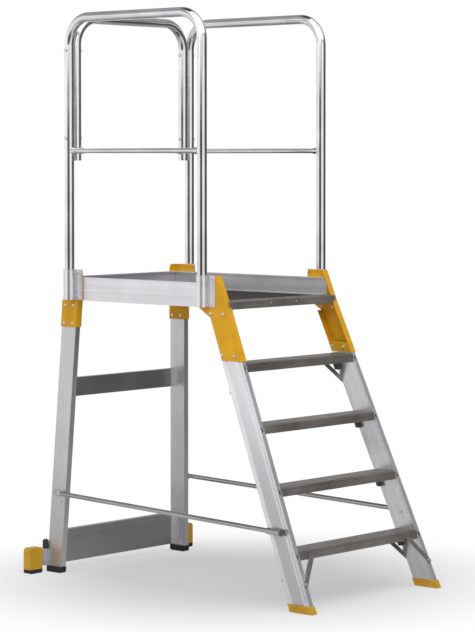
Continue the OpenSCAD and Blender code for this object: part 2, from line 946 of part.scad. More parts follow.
module side_stay() {
    rod(stay_rear + stay_axis * (blade_run / 2 - blade_lap),
        stay_front + stay_axis * (sleeve_len / 2), stay_d);
    intersection() {
        along_x(0, far) translate([stay_rear_y, stay_rear_z]) {
            square([blade_run - blade_h, blade_h], center = true);
            for (s = [-1, 1]) translate([s * (blade_run - blade_h) / 2, 0]) circle(d = blade_h);
        }
        leg_bar(-blade_t, 0, -far, far, 0, deck_z);
    }
}

module side_stay_right() {
    color("lightgray") placed() side_stay();
}

module side_stay_left() {
    color("lightgray") placed() left() side_stay();
}

// Sleeves that carry the stays' front ends on the stiles
module stay_sleeves() {
    a = stay_front - stay_axis * (sleeve_len / 2);
    b = stay_front + stay_axis * (sleeve_len / 2);
    color("gainsboro") placed() both() difference() {
        union() {
            rod(a, b, sleeve_d);
            intersection() {
                along_x(0, stay_front[0]) translate([stay_front_y, stay_front_z])
                    square([sleeve_len - sleeve_pad_h / 2, sleeve_pad_h], center = true);
                ladder_bar(-sleeve_d, stile_recess, recess_u0, recess_u1, 0, deck_z);
            }
        }
        rod(a - stay_axis * cut, b + stay_axis * cut, stay_d + 2 * seat_gap);
    }
}

module stay_end_plugs() {
    b = stay_front + stay_axis * (sleeve_len / 2);
    color("dimgray") placed() both() rod(b, b + stay_axis * plug_len, sleeve_d);
}

// Bolt of the sleeve through the stile
module stay_bolt_pin(d) {
    pin_x(0, ladder_x(stay_front_z) + stay_d, stay_front_y - stay_bolt_ahead, stay_front_z, d);
}

module stay_bolts() {
    color("gray") placed() both() {
        intersection() {
            pin_x(0, far, stay_front_y - stay_bolt_ahead, stay_front_z, head_d);
            ladder_bar(stile_t, stile_t + head_t, -far, far, 0, deck_z);
        }
        intersection() {
            pin_x(0, far, stay_front_y - stay_bolt_ahead, stay_front_z, bolt_d);
            ladder_bar(stile_recess, stile_t, -far, far, 0, deck_z);
        }
        intersection() {
            pin_x(0, far, stay_rear_y, stay_rear_z, head_d);
            leg_bar(-blade_t - head_t, -blade_t, -far, far, 0, deck_z);
        }
        intersection() {
            pin_x(0, far, stay_rear_y, stay_rear_z - rivet_below, rivet_d);
            leg_bar(-rivet_t, 0, -far, far, 0, deck_z);
        }
    }
}

// Outriggers

module guide_band(inset, z0, z1) {
    leg_band(-inset, -guide_run + inset, z0, z1);
}

module outrigger_guide() {
    color("silver") placed() difference() {
        union() {
            intersection() {
                guide_band(0, guide_z, guide_top);
                translate([-guide_half, -far, 0]) cube([2 * guide_half, 2 * far, far]);
            }
            both() translate([knob_x, guide_y, guide_top]) cylinder(h = boss_h, d = boss_d);
        }
        intersection() {
            guide_band(guide_wall, guide_z + guide_wall, guide_top - guide_wall);
            translate([-guide_half - cut, -far, 0]) cube([2 * guide_half + 2 * cut, 2 * far, far]);
        }
        both() translate([knob_x, guide_y, guide_top - guide_wall - cut])
            cylinder(h = guide_wall + boss_h + 2 * cut, d = stem_d + 2 * turn_gap);
    }
}

// Sliding bar of the right outrigger, hollow, with its outer end in the foot
module bar_solid(inset, x0, x1) {
    intersection() {
        guide_band(guide_wall + slide_gap + inset, bar_z0 + inset, bar_z1 - inset);
        translate([x0, -far, 0]) cube([x1 - x0, 2 * far, far]);
    }
}

module outrigger_bar() {
    x1 = foot_x + bar_hold;
    difference() {
        bar_solid(0, bar_inner_x, x1);
        bar_solid(guide_wall, bar_inner_x - cut, x1 + cut);
    }
}

module outrigger_bar_right() {
    color("silver") placed() outrigger_bar();
}

module outrigger_bar_left() {
    color("silver") placed() left() outrigger_bar();
}

module outrigger_foot() {
    difference() {
        translate([foot_x, guide_y, 0]) along_y(-foot_run / 2, foot_run / 2) difference() {
            translate([0, sole_h]) square([foot_w, foot_h - sole_h]);
            corner_cut([foot_w, foot_h], foot_round, -1, -1);
            corner_cut([0, foot_h], foot_round / 2, 1, -1);
        }
        bar_solid(0, foot_x - cut, foot_x + bar_hold);
    }
}

module outrigger_foot_right() {
    color("gold") placed() outrigger_foot();
}

module outrigger_foot_left() {
    color("gold") placed() left() outrigger_foot();
}

module outrigger_sole() {
    grooves = 3;
    pitch = foot_w / (grooves + 1);
    translate([foot_x, guide_y, 0]) along_y(-foot_run / 2, foot_run / 2) difference() {
        square([foot_w, sole_h]);
        for (k = [1 : grooves])
            translate([k * pitch - sole_groove / 2, -cut]) square([sole_groove, sole_groove + cut]);
        corner_cut([0, 0], sole_round, 1, 1);
        corner_cut([foot_w, 0], sole_round, -1, 1);
    }
}

module outrigger_sole_right() {
    color("black") placed() outrigger_sole();
}

module outrigger_sole_left() {
    color("black") placed() left() outrigger_sole();
}

// Clamp knob: a fluted head on a stem that presses on the sliding bar
module clamp_knob() {
    tip = bar_z1 + slide_gap;
    base = guide_top + boss_h + slide_gap;
    translate([knob_x, guide_y, 0]) {
        translate([0, 0, tip]) cylinder(h = base - tip + boss_h, d = stem_d);
        difference() {
            translate([0, 0, base]) {
                cylinder(h = knob_h - knob_d / 4, d = knob_d);
                translate([0, 0, knob_h - knob_d / 4]) cylinder(h = knob_d / 4, d1 = knob_d, d2 = knob_d / 2);
            }
            for (k = [0 : knob_flutes - 1]) rotate(k * 360 / knob_flutes)
                translate([knob_d / 2 + knob_flute_d / 4, 0, base - cut])
                    cylinder(h = knob_h + 2 * cut, d = knob_flute_d);
        }
    }
}

module clamp_knob_right() {
    color("darkslategray") placed() clamp_knob();
}

module clamp_knob_left() {
    color("darkslategray") placed() left() clamp_knob();
}

// Guardrail

// Tube bent over two corners: legs at plus and minus half a span, top at the given height
module hoop_rod(half, foot, top, d) {
    for (s = [-1, 1]) scale_sign_x(s) {
        translate([half, 0, foot]) cylinder(h = top - bend_r - foot, d = d);
        translate([half - bend_r, 0, top - bend_r]) rotate([90, 0, 0])
            rotate_extrude(angle = 90) translate([bend_r, 0]) circle(d = d);
    }
    translate([-half + bend_r, 0, top]) rotate([0, 90, 0]) cylinder(h = 2 * (half - bend_r), d = d);
}

module scale_sign_x(s) {
    mirror([s < 0 ? 1 : 0, 0, 0]) children();
}

module hoop(half, foot, top) {
    difference() {
        hoop_rod(half, foot, top, post_d);
        hoop_rod(half, foot - cut, top, post_d - 2 * post_wall);
    }
}

// Through bolts that tie the rear posts to the rear hoop
module hoop_bolt_pins(d, x0, x1) {
    for (z = hoop_bolt_zs) pin_x(x0, x1, post_span / 2, z, d);
}

module side_hoop() {
    difference() {
        translate([post_x, 0, 0]) rotate([0, 0, 90]) hoop(post_span / 2, post_foot_z, hoop_top);
        hoop_bolt_pins(bolt_d + 2 * bolt_gap, post_x - post_d, post_x + post_d);
    }
}

module side_hoop_right() {
    color("gainsboro") placed() side_hoop();
}

module side_hoop_left() {
    color("gainsboro") placed() left() side_hoop();
}

module rear_hoop() {
    color("gainsboro") placed() difference() {
        translate([0, post_span / 2, 0]) hoop(rear_hoop_x, knee_z - rear_hoop_tail, hoop_top);
        both() hoop_bolt_pins(bolt_d + 2 * bolt_gap, rear_hoop_x - post_d, rear_hoop_x + post_d);
    }
}

// Rail between two posts, its ends fitted to the posts
module knee_rail(half, d, inner, end) {
    difference() {
        pin_x(-half, half, 0, 0, d);
        for (s = [-1, 1]) translate([s * half, 0, -post_d])
            cylinder(h = 2 * post_d, d = post_d + 2 * seat_gap);
        if (inner > 0) pin_x(-half - cut, half + cut, 0, 0, inner);
        if (end > 0) translate([end - half, -d, -d]) cube([2 * (half - end), 2 * d, 2 * d]);
    }
}

module side_knee(d, inner, end) {
    translate([post_x, 0, knee_z]) rotate([0, 0, 90]) knee_rail(post_span / 2, d, inner, end);
}

module rear_knee(d, inner, end) {
    translate([0, post_span / 2, knee_z]) knee_rail(rear_hoop_x, d, inner, end);
}

module knee_rail_right() {
    color("gainsboro") placed() side_knee(knee_d, 0, 0);
}

module knee_rail_left() {
    color("gainsboro") placed() left() side_knee(knee_d, 0, 0);
}

module knee_rail_rear() {
    color("gainsboro") placed() rear_knee(knee_d, 0, 0);
}

module knee_rail_collars() {
    end = post_d / 2 + collar_len;
    bore = knee_d + 2 * seat_gap;
    color("silver") placed() {
        both() side_knee(collar_d, bore, end);
        rear_knee(collar_d, bore, end);
    }
}

module hoop_bolts() {
    x0 = rear_hoop_x - post_d / 2;
    x1 = post_x + post_d / 2;
    color("gray") placed() both() {
        hoop_bolt_pins(bolt_d, x0 - head_t, x1);
        hoop_bolt_pins(head_d, x1, x1 + head_t);
        for (z = hoop_bolt_zs) hex_x(x0 - head_t, x0, post_span / 2, z, head_d);
    }
}

front_stile_left();
front_stile_right();
tread_1();
tread_2();
tread_3();
tread_4();
tread_cleats();
tread_braces();
brace_bolts();
front_shoe_left();
front_shoe_right();
front_bracket_left();
front_bracket_right();
front_bracket_bolts();
side_rail_left();
side_rail_right();
rear_toe_board();
front_nosing();
nosing_screws();
nosing_cleats();
deck_board();
post_socket_front_left();
post_socket_front_right();
post_socket_rear_left();
post_socket_rear_right();
socket_bolts();
rear_leg_left();
rear_leg_right();
rear_bracket_left();
rear_bracket_right();
rear_bracket_rivets();
mid_crossbar();
lower_crossbar();
crossbar_cleats();
cleat_rivets();
rear_foot_left();
rear_foot_right();
side_stay_left();
side_stay_right();
stay_sleeves();
stay_end_plugs();
stay_bolts();
outrigger_guide();
outrigger_bar_left();
outrigger_bar_right();
outrigger_foot_left();
outrigger_foot_right();
outrigger_sole_left();
outrigger_sole_right();
clamp_knob_left();
clamp_knob_right();
side_hoop_left();
side_hoop_right();
rear_hoop();
knee_rail_left();
knee_rail_right();
knee_rail_rear();
knee_rail_collars();
hoop_bolts();
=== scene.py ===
"""Podium step: finishes, domed fasteners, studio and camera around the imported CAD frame."""

import logging
import math
from dataclasses import dataclass
from enum import Enum
from typing import Iterable, Union

import bmesh
import bpy
from mathutils import Matrix, Vector


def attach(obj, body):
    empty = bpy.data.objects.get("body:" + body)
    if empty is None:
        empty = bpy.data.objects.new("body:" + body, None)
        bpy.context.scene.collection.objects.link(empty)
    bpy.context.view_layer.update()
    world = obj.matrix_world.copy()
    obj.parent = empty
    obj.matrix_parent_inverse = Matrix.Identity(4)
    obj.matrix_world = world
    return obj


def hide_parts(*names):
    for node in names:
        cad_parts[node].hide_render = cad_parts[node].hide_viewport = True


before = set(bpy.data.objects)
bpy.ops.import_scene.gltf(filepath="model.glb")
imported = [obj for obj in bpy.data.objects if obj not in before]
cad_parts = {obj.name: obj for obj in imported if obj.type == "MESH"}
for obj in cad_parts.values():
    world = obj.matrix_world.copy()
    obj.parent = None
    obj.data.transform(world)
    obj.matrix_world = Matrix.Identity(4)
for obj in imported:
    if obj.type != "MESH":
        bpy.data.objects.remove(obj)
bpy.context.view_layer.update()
log = logging.getLogger("podium_step")

Number = Union[float, "Value"]
Colour = tuple[float, float, float]
Axis = tuple[float, float, float]
Span = tuple[float, float]
MM = 0.001
UP = (0.0, 0.0, 1.0)
NOISE_SPAN = (0.3, 0.7)
NOISE_MEAN = 0.5


class Value:
    """A shader socket that takes part in Python arithmetic."""

    def __init__(self, tree: "ShaderTree", socket: bpy.types.NodeSocket) -> None:
        """Keeps the tree that the socket belongs to."""
        self.tree = tree
        self.socket = socket

    def _math(self, operation: str, first: Number, second: Number = 0.0) -> "Value":
        """Adds one Math node.

        Args:
            operation: Name of the Math node's operation.
            first: First operand.
            second: Second operand.

        Returns:
            The node's result.
        """
        node = self.tree.add("ShaderNodeMath", {"operation": operation}, {0: first, 1: second})
        return Value(self.tree, node.outputs[0])

    def __add__(self, other: Number) -> "Value":
        """Sum of two values."""
        return self._math("ADD", self, other)

    __radd__ = __add__

    def __sub__(self, other: Number) -> "Value":
        """Difference of two values."""
        return self._math("SUBTRACT", self, other)

    def __rsub__(self, other: Number) -> "Value":
        """Difference with this value taken away."""
        return self._math("SUBTRACT", other, self)

    def __mul__(self, other: Number) -> "Value":
        """Product of two values."""
        return self._math("MULTIPLY", self, other)

    __rmul__ = __mul__

    def sine(self) -> "Value":
        """Sine of this value."""
        return self._math("SINE", self)

    def size(self) -> "Value":
        """Absolute value."""
        return self._math("ABSOLUTE", self)

    def heading(self, ahead: Number) -> "Value":
        """Angle, in radians, of a direction with this value to the side and another ahead."""
        return self._math("ARCTAN2", self, ahead)

    def swing(self, weight: float) -> "Value":
        """Weighted departure of a noise from its mean."""
        return (self - NOISE_MEAN) * weight

    def blend(self, other: "Value", share: float) -> "Value":
        """This value with a share of another."""
        return self * (1 - share) + other * share

    def band(self, low: float, high: float, soft: float) -> "Value":
        """Soft band.

        Args:
            low: Value in the middle of the rise.
            high: Value in the middle of the fall.
            soft: Half length of the rise and of the fall.

        Returns:
            The band, 1 inside and 0 outside.
        """
        return self.ramp(low - soft, low + soft) - self.ramp(high - soft, high + soft)

    def ramp(self, low: float, high: float) -> "Value":
        """Smooth step.

        Args:
            low: Value that gives 0.
            high: Value that gives 1.

        Returns:
            The step, between 0 and 1.
        """
        node = self.tree.add("ShaderNodeMapRange", {"interpolation_type": "SMOOTHSTEP"},
                             {"Value": self, "From Min": low, "From Max": high})
        return Value(self.tree, node.outputs[0])


@dataclass(frozen=True)
class Noise:
    """A noise texture: features per metre, number of finer layers and their weight."""

    scale: float
    detail: float = 2.0
    rough: float = 0.5


class ShaderTree:
    """Nodes of one material or of the world."""

    MIX_SHARE = 0
    MIX_FIRST = 6
    MIX_SECOND = 7
    MIX_COLOUR = 2
    BEVEL_SAMPLES = 4

    def __init__(self, tree: bpy.types.NodeTree) -> None:
        """Starts from an empty tree."""
        self.tree = tree
        tree.nodes.clear()

    def add(self, kind: str, settings: dict | None = None, inputs: dict | None = None) -> bpy.types.Node:
        """Adds one node.

        Args:
            kind: The node's type.
            settings: Properties of the node, set first.
            inputs: Values or links of its sockets, by name or number.

        Returns:
            The new node.
        """
        node = self.tree.nodes.new(kind)
        for name, value in (settings or {}).items():
            setattr(node, name, value)
        for key, value in (inputs or {}).items():
            if isinstance(value, Value):
                self.tree.links.new(value.socket, node.inputs[key])
            else:
                node.inputs[key].default_value = value
        return node

    def out(self, node: bpy.types.Node, key: Union[str, int] = 0) -> Value:
        """Wraps an output of a node."""
        return Value(self, node.outputs[key])

    def place(self) -> Value:
        """Object coordinates, in metres."""
        return self.out(self.add("ShaderNodeTexCoord"), "Object")

    def dot(self, vector: Value, axis: Axis) -> Value:
        """Length of a vector along an axis."""
        node = self.add("ShaderNodeVectorMath", {"operation": "DOT_PRODUCT"}, {0: vector, 1: axis})
        return self.out(node, "Value")

    def vector(self, x: Number, y: Number, z: Number) -> Value:
        """Vector of three values."""
        return self.out(self.add("ShaderNodeCombineXYZ", None, {0: x, 1: y, 2: z}))

    def noise(self, vector: Value, kind: Noise) -> Value:
        """Adds a noise texture.

        Args:
            vector: Where it is read.
            kind: Its scale and layers.

        Returns:
            The noise, mostly between the ends of NOISE_SPAN.
        """
        node = self.add("ShaderNodeTexNoise", None, {"Vector": vector, "Scale": kind.scale,
                                                     "Detail": kind.detail, "Roughness": kind.rough})
        return self.out(node, "Fac")

    def mix(self, first: Union[Colour, Value], second: Union[Colour, Value], share: Number) -> Value:
        """Blends two colours.

        Args:
            first: Colour at share 0.
            second: Colour at share 1.
            share: Share of the second colour.

        Returns:
            The blend.
        """
        ends = [c if isinstance(c, Value) else (*c, 1.0) for c in (first, second)]
        node = self.add("ShaderNodeMix", {"data_type": "RGBA"},
                        {self.MIX_SHARE: share, self.MIX_FIRST: ends[0], self.MIX_SECOND: ends[1]})
        return self.out(node, self.MIX_COLOUR)

    def bump(self, height: Value, depth: float, strength: float, edge: float) -> Value:
        """Normal that follows a height and rounds the edges.

        Args:
            height: Height between 0 and 1.
            depth: Real depth of the relief, in metres.
            strength: Strength of the relief.
            edge: Radius of the edges, in metres.

        Returns:
            The normal.
        """
        soft = self.add("ShaderNodeBevel", {"samples": self.BEVEL_SAMPLES}, {"Radius": edge})
        node = self.add("ShaderNodeBump", None, {"Height": height, "Distance": depth, "Strength": strength,
                                                 "Normal": self.out(soft, "Normal")})
        return self.out(node, "Normal")


@dataclass(frozen=True)
class Finish:
    """A surface finish that makes its own material."""

    name: str
    colour: Colour
    rough: float

    def paint(self, tree: ShaderTree) -> dict:
        """Values and links of the shader's sockets."""
        raise NotImplementedError

    def tones(self, tree: ShaderTree, ends: Span, noise: Value) -> Value:
        """Colour between two tones of the finish.

        Args:
            tree: Nodes of the material.
            ends: Darkest and lightest tone, as shares of the colour.
            noise: Noise that chooses between them.

        Returns:
            The blend.
        """
        dark, light = ends
        return tree.mix(shaded(self.colour, dark), shaded(self.colour, light), noise.ramp(*NOISE_SPAN))

    def make(self) -> bpy.types.Material:
        """Makes the material.

        Returns:
            The new material.
        """
        material = bpy.data.materials.new(self.name)
        material.use_nodes = True
        tree = ShaderTree(material.node_tree)
        shader = tree.add("ShaderNodeBsdfPrincipled", None, self.paint(tree))
        tree.add("ShaderNodeOutputMaterial", None, {"Surface": tree.out(shader, "BSDF")})
        return material


def shaded(colour: Colour, factor: float) -> Colour:
    """Colour made darker or lighter by a factor."""
    return (colour[0] * factor, colour[1] * factor, colour[2] * factor)


@dataclass(frozen=True)
class ExtrudedAluminium(Finish):
    """Mill-finished extrusion with die lines along its length, smudges and dull patches."""

    grain: Axis = (0.0, 0.0, 1.0)
    stretch: float = 0.006
    metal: float = 1.0
    lines: Noise = Noise(700.0, detail=3.0, rough=0.6)
    bands: Noise = Noise(700.0 / 12)
    patches: Noise = Noise(5.0, detail=4.0, rough=0.6)
    tone_lines: float = 0.35
    tone_bands: float = 0.4
    tone_patches: float = 0.6
    tone_start: float = 0.2
    tone_from: Span = (0.25, 0.75)
    streaks: float = 1.0
    dark: float = 0.18
    light: float = 0.1
    scuffs: Noise = Noise(140.0, detail=3.0, rough=0.7)
    scuff_from: Span = (0.62, 0.75)
    scuff_tone: float = 1.25
    scuff_share: float = 0.35
    dust_height: float = 0.25
    dust_tone: float = 0.6
    dust_share: float = 0.5
    rough_lines: float = 0.25
    rough_patches: float = 0.3
    rough_dust: float = 0.1
    band_relief: float = 0.3
    line_depth: float = 0.15 * MM
    line_strength: float = 0.35
    edge: float = 1.2 * MM

    def paint(self, tree: ShaderTree) -> dict:
        """Values and links of the shader's sockets."""
        place = tree.place()
        along = Vector(self.grain).normalized()
        side = along.orthogonal().normalized()
        other = along.cross(side)
        drawn = tree.vector(tree.dot(place, side[:]), tree.dot(place, other[:]),
                            tree.dot(place, along[:]) * self.stretch)
        lines = tree.noise(drawn, self.lines)
        bands = tree.noise(drawn, self.bands)
        patches = tree.noise(place, self.patches)
        scuffs = tree.noise(place, self.scuffs).ramp(*self.scuff_from)
        dust = 1 - tree.dot(place, UP).ramp(0.0, self.dust_height)
        mixed = lines * self.tone_lines + bands * self.tone_bands + patches * self.tone_patches
        tone = (mixed - self.tone_start).ramp(*self.tone_from)
        metal = tree.mix(shaded(self.colour, 1 - self.dark * self.streaks),
                         shaded(self.colour, 1 + self.light * self.streaks), tone)
        worn = tree.mix(metal, shaded(self.colour, self.scuff_tone), scuffs * self.scuff_share)
        base = tree.mix(worn, shaded(self.colour, self.dust_tone), dust * patches * self.dust_share)
        rough = self.rough + lines.swing(self.rough_lines) + patches.swing(self.rough_patches)
        relief = lines.blend(bands, self.band_relief)
        return {"Base Color": base, "Metallic": self.metal, "Roughness": rough + dust * self.rough_dust,
                "Normal": tree.bump(relief, self.line_depth, self.line_strength, self.edge)}


@dataclass(frozen=True)
class StileExtrusion(ExtrudedAluminium):
    """Stile extrusion with painted shade in the outer recess, stronger towards the floor, which leaves the
    ridges beside it brighter.
    """

    outward: float = 1.0
    foot_y: float = -0.7011
    lean: float = 0.432
    recess: Span = (26 * MM, 79 * MM)
    recess_soft: float = 1.0 * MM
    # Tone and share of the painted shade in the recess; the last span is the height over which that painted
    # shade fades out.
    recess_shade_tone: float = 0.5
    recess_shade_share: float = 0.6
    recess_rough: float = 0.06
    facing_from: Span = (0.5, 0.8)
    shade_fade: Span = (0.3, 0.95)

    def paint(self, tree: ShaderTree) -> dict:
        """Values and links of the shader's sockets."""
        sockets = super().paint(tree)
        place = tree.place()
        run = tree.dot(place, (0.0, 1.0, -self.lean)) - self.foot_y
        inside = run.band(*self.recess, self.recess_soft)
        normal = tree.out(tree.add("ShaderNodeNewGeometry"), "Normal")
        facing = tree.dot(normal, (self.outward, 0.0, 0.0)).ramp(*self.facing_from)
        low = 1 - tree.dot(place, UP).ramp(*self.shade_fade)
        # Painted shade: dull masks the recess on the outer face, strongest near the floor, and worn is the
        # shaded colour mixed in there.
        dull = inside * facing * low
        worn = shaded(self.colour, self.recess_shade_tone)
        sockets["Base Color"] = tree.mix(sockets["Base Color"], worn, dull * self.recess_shade_share)
        sockets["Roughness"] = sockets["Roughness"] + dull * self.recess_rough
        return sockets


@dataclass(frozen=True)
class PolishedTube(Finish):
    """Bright drawn tube, nearly a mirror, with a faint haze and small handling marks."""

    haze: Noise = Noise(9.0)
    haze_tones: Span = (0.9, 1.06)
    marks: Noise = Noise(260.0, detail=3.0, rough=0.7)
    mark_from: Span = (0.6, 0.72)
    rough_haze: float = 0.2
    rough_marks: float = 0.04
    mark_relief: float = 0.05
    haze_depth: float = 0.4 * MM
    haze_strength: float = 0.02
    edge: float = 0.8 * MM

    def paint(self, tree: ShaderTree) -> dict:
        """Values and links of the shader's sockets."""
        place = tree.place()
        haze = tree.noise(place, self.haze)
        marks = tree.noise(place, self.marks).ramp(*self.mark_from)
        base = self.tones(tree, self.haze_tones, haze)
        rough = self.rough + haze.swing(self.rough_haze) + marks * self.rough_marks
        relief = haze.blend(marks, self.mark_relief)
        return {"Base Color": base, "Metallic": 1.0, "Roughness": rough,
                "Normal": tree.bump(relief, self.haze_depth, self.haze_strength, self.edge)}


@dataclass(frozen=True)
class PowderCoat(Finish):
    """Powder coat on pressed steel: orange peel, a soft clear sheen and rubbed patches."""

    peel: Noise = Noise(520.0)
    peel_share: float = 0.2
    patches: Noise = Noise(14.0, detail=4.0, rough=0.6)
    patch_tones: Span = (0.88, 1.08)
    rubbed: Noise = Noise(130.0, detail=4.0, rough=0.75)
    rubbed_from: Span = (0.64, 0.74)
    rubbed_tone: float = 0.62
    rubbed_share: float = 0.4
    rough_patches: float = 0.25
    rough_rubbed: float = 0.15
    coat: float = 0.1
    coat_rough: float = 0.25
    specular: float = 0.2
    peel_depth: float = 0.2 * MM
    peel_strength: float = 0.3
    edge: float = 3.0 * MM

    def paint(self, tree: ShaderTree) -> dict:
        """Values and links of the shader's sockets."""
        place = tree.place()
        peel = tree.noise(place, self.peel)
        patches = tree.noise(place, self.patches)
        rubbed = tree.noise(place, self.rubbed).ramp(*self.rubbed_from)
        paint = self.tones(tree, self.patch_tones, patches.blend(peel, self.peel_share))
        base = tree.mix(paint, shaded(self.colour, self.rubbed_tone), rubbed * self.rubbed_share)
        rough = self.rough + patches.swing(self.rough_patches) + rubbed * self.rough_rubbed
        return {"Base Color": base, "Roughness": rough, "Specular IOR Level": self.specular,
                "Coat Weight": self.coat - rubbed * self.coat, "Coat Roughness": self.coat_rough,
                "Normal": tree.bump(peel, self.peel_depth, self.peel_strength, self.edge)}


@dataclass(frozen=True)
class MouldedPlastic(Finish):
    """Moulded plastic or rubber with a fine spark-eroded grain and scuffs."""

    grain: Noise = Noise(900.0)
    grain_tones: Span = (0.85, 1.12)
    patches: Noise = Noise(15.0, detail=3.0)
    patch_share: float = 0.6
    scuffs: Noise = Noise(90.0, detail=4.0, rough=0.7)
    scuff_from: Span = (0.58, 0.74)
    scuff_tone: float = 1.5
    scuff_share: float = 0.3
    rough_grain: float = 0.2
    rough_scuffs: float = 0.12
    grain_depth: float = 0.25 * MM
    grain_strength: float = 0.4
    edge: float = 2.0 * MM

    def paint(self, tree: ShaderTree) -> dict:
        """Values and links of the shader's sockets."""
        place = tree.place()
        grain = tree.noise(place, self.grain)
        patches = tree.noise(place, self.patches)
        scuffs = tree.noise(place, self.scuffs).ramp(*self.scuff_from)
        base = self.tones(tree, self.grain_tones, grain.blend(patches, self.patch_share))
        worn = tree.mix(base, shaded(self.colour, self.scuff_tone), scuffs * self.scuff_share)
        rough = self.rough + grain.swing(self.rough_grain) + scuffs * self.rough_scuffs
        return {"Base Color": worn, "Roughness": rough,
                "Normal": tree.bump(grain, self.grain_depth, self.grain_strength, self.edge)}


@dataclass(frozen=True)
class ZincPlate(Finish):
    """Bright zinc on fasteners, mottled, with fine turning marks."""

    mottle: Noise = Noise(220.0, detail=3.0, rough=0.6)
    mottle_tones: Span = (0.75, 1.15)
    rough_mottle: float = 0.3
    marks: Noise = Noise(1100.0)
    mark_depth: float = 0.1 * MM
    mark_strength: float = 0.3
    edge: float = 1.2 * MM

    def paint(self, tree: ShaderTree) -> dict:
        """Values and links of the shader's sockets."""
        place = tree.place()
        mottle = tree.noise(place, self.mottle)
        marks = tree.noise(place, self.marks)
        base = self.tones(tree, self.mottle_tones, mottle)
        rough = self.rough + mottle.swing(self.rough_mottle)
        return {"Base Color": base, "Metallic": 1.0, "Roughness": rough,
                "Normal": tree.bump(marks, self.mark_depth, self.mark_strength, self.edge)}


@dataclass(frozen=True)
class FilmPlywood(Finish):
    """Dark phenolic film on plywood with a pressed wire grid and scuffs."""

    grid: float = 5.0 * MM
    diagonals: tuple[Axis, Axis] = ((0.7, 0.7, 0.0), (0.7, -0.7, 0.0))
    grid_from: Span = (0.1, 0.6)
    grid_share: float = 0.08
    patches: Noise = Noise(7.0, detail=4.0, rough=0.6)
    patch_tones: Span = (0.8, 1.25)
    scuffs: Noise = Noise(63.0, detail=4.0, rough=0.75)
    scuff_from: Span = (0.58, 0.75)
    scuff_tone: float = 2.2
    scuff_share: float = 0.35
    rough_patches: float = 0.3
    rough_scuffs: float = 0.1
    specular: float = 0.15
    grid_depth: float = 0.3 * MM
    grid_strength: float = 0.5
    edge: float = 1.0 * MM

    def paint(self, tree: ShaderTree) -> dict:
        """Values and links of the shader's sockets."""
        place = tree.place()
        turn = 2 * math.pi / self.grid
        wires = [(tree.dot(place, axis) * turn).sine().size() for axis in self.diagonals]
        grid = (wires[0] * wires[1]).ramp(*self.grid_from)
        patches = tree.noise(place, self.patches)
        scuffs = tree.noise(place, self.scuffs).ramp(*self.scuff_from)
        film = self.tones(tree, self.patch_tones, patches)
        wear = scuffs * self.scuff_share + grid * self.grid_share
        worn = tree.mix(film, shaded(self.colour, self.scuff_tone), wear)
        rough = self.rough + patches.swing(self.rough_patches) + scuffs * self.rough_scuffs
        return {"Base Color": worn, "Roughness": rough, "Specular IOR Level": self.specular,
                "Normal": tree.bump(grid, self.grid_depth, self.grid_strength, self.edge)}


class Member(Enum):
    """Direction in which an extrusion runs, on the right side of the part."""

    ACROSS = (1.0, 0.0, 0.0)
    DEEP = (0.0, 1.0, 0.0)
    UPRIGHT = (0.0, 0.0, 1.0)
    STILE = (-0.055, 0.432, 1.0)
    LEG = (-0.0455, -0.0425, 1.0)


@dataclass(frozen=True)
class Palette:
    """Colours of the finishes, as linear values."""

    mill: Colour = (0.88, 0.88, 0.91)
    bright: Colour = (0.79, 0.79, 0.81)
    stay: Colour = (0.5, 0.5, 0.51)
    tread: Colour = (0.355, 0.332, 0.31)
    leg: Colour = (0.70, 0.70, 0.71)
    bar: Colour = (0.42, 0.415, 0.41)
    yellow: Colour = (0.86, 0.44, 0.012)
    shoe: Colour = (0.74, 0.40, 0.014)
    rubber: Colour = (0.022, 0.022, 0.022)
    knob: Colour = (0.035, 0.042, 0.035)
    plug: Colour = (0.13, 0.13, 0.13)
    zinc: Colour = (0.78, 0.77, 0.75)
    film: Colour = (0.042, 0.035, 0.037)


